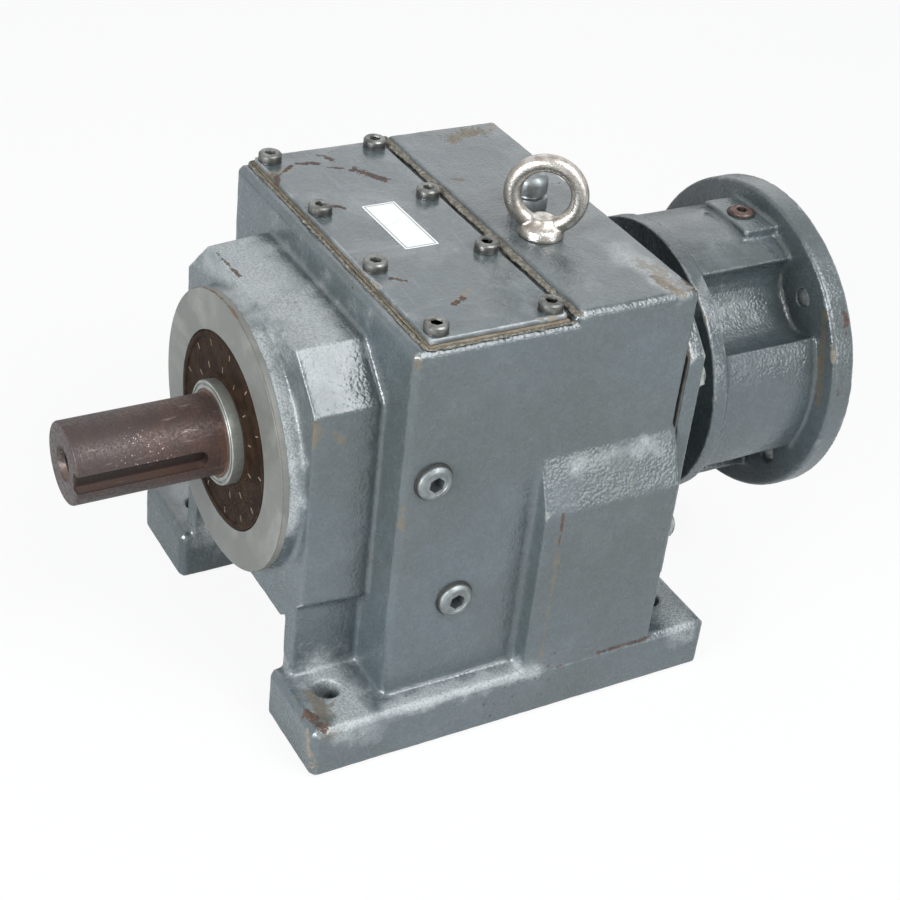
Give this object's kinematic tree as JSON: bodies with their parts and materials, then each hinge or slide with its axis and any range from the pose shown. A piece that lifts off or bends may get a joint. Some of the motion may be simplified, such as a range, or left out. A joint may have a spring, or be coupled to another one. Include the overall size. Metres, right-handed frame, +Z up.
{
  "type": "inline helical gear reducer",
  "caption": "Foot-mounted inline helical gear reducer with a keyed output shaft, a bolted top cover, a lifting eye and a round flanged motor adapter.",
  "frame": {"origin": "on the ground under the reducer, at the centre of its bounding box's bottom face", "axes": "+Z up, the output shaft points along -Y, the motor flange faces +Y and the oil plugs are on the +X side"},
  "size_m": [0.294, 0.5316, 0.3616],
  "materials": {
    "gear_housing": "blue-grey paint with chips and light rust",
    "cover_gasket": "tan sealing compound",
    "top_cover": "blue-grey paint with chips and light rust",
    "oil_level_plug": "zinc plated, worn",
    "oil_drain_plug": "zinc plated, worn",
    "eye_bolt": "bare forged steel",
    "breather_valve": "zinc plated, worn",
    "output_shaft": "machined steel with brown surface rust",
    "output_wheel_key": "bright drawn steel",
    "output_wheel": "hobbed and ground steel, oiled",
    "output_spacer_sleeve": "turned steel",
    "seal_sleeve": "turned steel, greenish passivation",
    "output_shaft_seal": "brown rubber coated seal",
    "bearing_snap_ring": "spring steel",
    "intermediate_pinion_shaft": "hobbed and ground steel, oiled",
    "intermediate_wheel": "hobbed and ground steel, oiled",
    "intermediate_wheel_key": "bright drawn steel",
    "intermediate_spacer": "turned steel",
    "intermediate_circlip": "spring steel",
    "input_pinion_shaft": "hobbed and ground steel, oiled",
    "hub_key": "bright drawn steel",
    "input_spacer": "turned steel",
    "input_shaft_seal": "rubber coated seal",
    "coupling_hub": "turned steel",
    "motor_adapter": "blue-grey paint with chips and light rust",
    "adapter_gasket": "gasket paper",
    "adapter_access_plug": "zinc plated, worn",
    "cover_screw_1": "zinc plated, worn",
    "cover_screw_2": "zinc plated, worn",
    "cover_screw_3": "zinc plated, worn",
    "cover_screw_4": "zinc plated, worn",
    "cover_screw_5": "zinc plated, worn",
    "cover_screw_6": "zinc plated, worn",
    "cover_screw_7": "zinc plated, worn",
    "cover_screw_8": "zinc plated, worn",
    "adapter_bolt_1": "painted over with the housing",
    "adapter_bolt_2": "painted over with the housing",
    "adapter_bolt_3": "painted over with the housing",
    "adapter_bolt_4": "painted over with the housing",
    "adapter_bolt_5": "painted over with the housing",
    "adapter_bolt_6": "painted over with the housing",
    "output_front_bearing_cup": "ground bearing steel",
    "output_front_bearing_cone": "ground bearing steel",
    "output_rear_bearing_cup": "ground bearing steel",
    "output_rear_bearing_cone": "ground bearing steel",
    "intermediate_front_bearing_cup": "ground bearing steel",
    "intermediate_front_bearing_cone": "ground bearing steel",
    "intermediate_rear_bearing_cup": "ground bearing steel",
    "intermediate_rear_bearing_cone": "ground bearing steel",
    "input_front_bearing_cup": "ground bearing steel",
    "input_front_bearing_cone": "ground bearing steel",
    "input_rear_bearing_cup": "ground bearing steel",
    "input_rear_bearing_cone": "ground bearing steel"
  },
  "bodies": {
    "housing": {"gear_housing": "gear_housing", "cover_gasket": "cover_gasket", "top_cover": "top_cover", "cover_screw_1": "cover_screw_1", "cover_screw_2": "cover_screw_2", "cover_screw_3": "cover_screw_3", "cover_screw_4": "cover_screw_4", "cover_screw_5": "cover_screw_5", "cover_screw_6": "cover_screw_6", "cover_screw_7": "cover_screw_7", "cover_screw_8": "cover_screw_8", "oil_level_plug": "oil_level_plug", "oil_drain_plug": "oil_drain_plug", "eye_bolt": "eye_bolt", "breather_valve": "breather_valve", "output_shaft_seal": "output_shaft_seal", "bearing_snap_ring": "bearing_snap_ring", "output_front_bearing_cup": "output_front_bearing_cup", "output_rear_bearing_cup": "output_rear_bearing_cup", "intermediate_front_bearing_cup": "intermediate_front_bearing_cup", "intermediate_rear_bearing_cup": "intermediate_rear_bearing_cup", "input_front_bearing_cup": "input_front_bearing_cup", "input_rear_bearing_cup": "input_rear_bearing_cup", "input_shaft_seal": "input_shaft_seal", "motor_adapter": "motor_adapter", "adapter_gasket": "adapter_gasket", "adapter_bolt_1": "adapter_bolt_1", "adapter_bolt_2": "adapter_bolt_2", "adapter_bolt_3": "adapter_bolt_3", "adapter_bolt_4": "adapter_bolt_4", "adapter_bolt_5": "adapter_bolt_5", "adapter_bolt_6": "adapter_bolt_6", "adapter_access_plug": "adapter_access_plug"},
    "output": {"output_shaft": "output_shaft", "output_wheel": "output_wheel", "output_wheel_key": "output_wheel_key", "output_spacer_sleeve": "output_spacer_sleeve", "seal_sleeve": "seal_sleeve", "output_front_bearing_cone": "output_front_bearing_cone", "output_rear_bearing_cone": "output_rear_bearing_cone"},
    "intermediate": {"intermediate_pinion_shaft": "intermediate_pinion_shaft", "intermediate_wheel": "intermediate_wheel", "intermediate_wheel_key": "intermediate_wheel_key", "intermediate_spacer": "intermediate_spacer", "intermediate_circlip": "intermediate_circlip", "intermediate_front_bearing_cone": "intermediate_front_bearing_cone", "intermediate_rear_bearing_cone": "intermediate_rear_bearing_cone"},
    "input": {"input_pinion_shaft": "input_pinion_shaft", "coupling_hub": "coupling_hub", "hub_key": "hub_key", "input_spacer": "input_spacer", "input_front_bearing_cone": "input_front_bearing_cone", "input_rear_bearing_cone": "input_rear_bearing_cone"}
  },
  "joints": [
    {"name": "output_turn", "type": "hinge", "parent": "housing", "child": "output", "pos_m": [0, -0.16, 0.18], "axis": [0, 1, 0], "continuous": true},
    {"name": "intermediate_turn", "type": "hinge", "parent": "housing", "child": "intermediate", "pos_m": [0.06, 0, 0.11631], "axis": [0, 1, 0], "continuous": true},
    {"name": "input_turn", "type": "hinge", "parent": "housing", "child": "input", "pos_m": [0, 0.12, 0.17294], "axis": [0, 1, 0], "continuous": true}
  ],
  "couplings": [
    {"joint": "intermediate_turn", "follows": "output_turn", "ratio": -3.1667},
    {"joint": "input_turn", "follows": "output_turn", "ratio": 11.762}
  ]
}
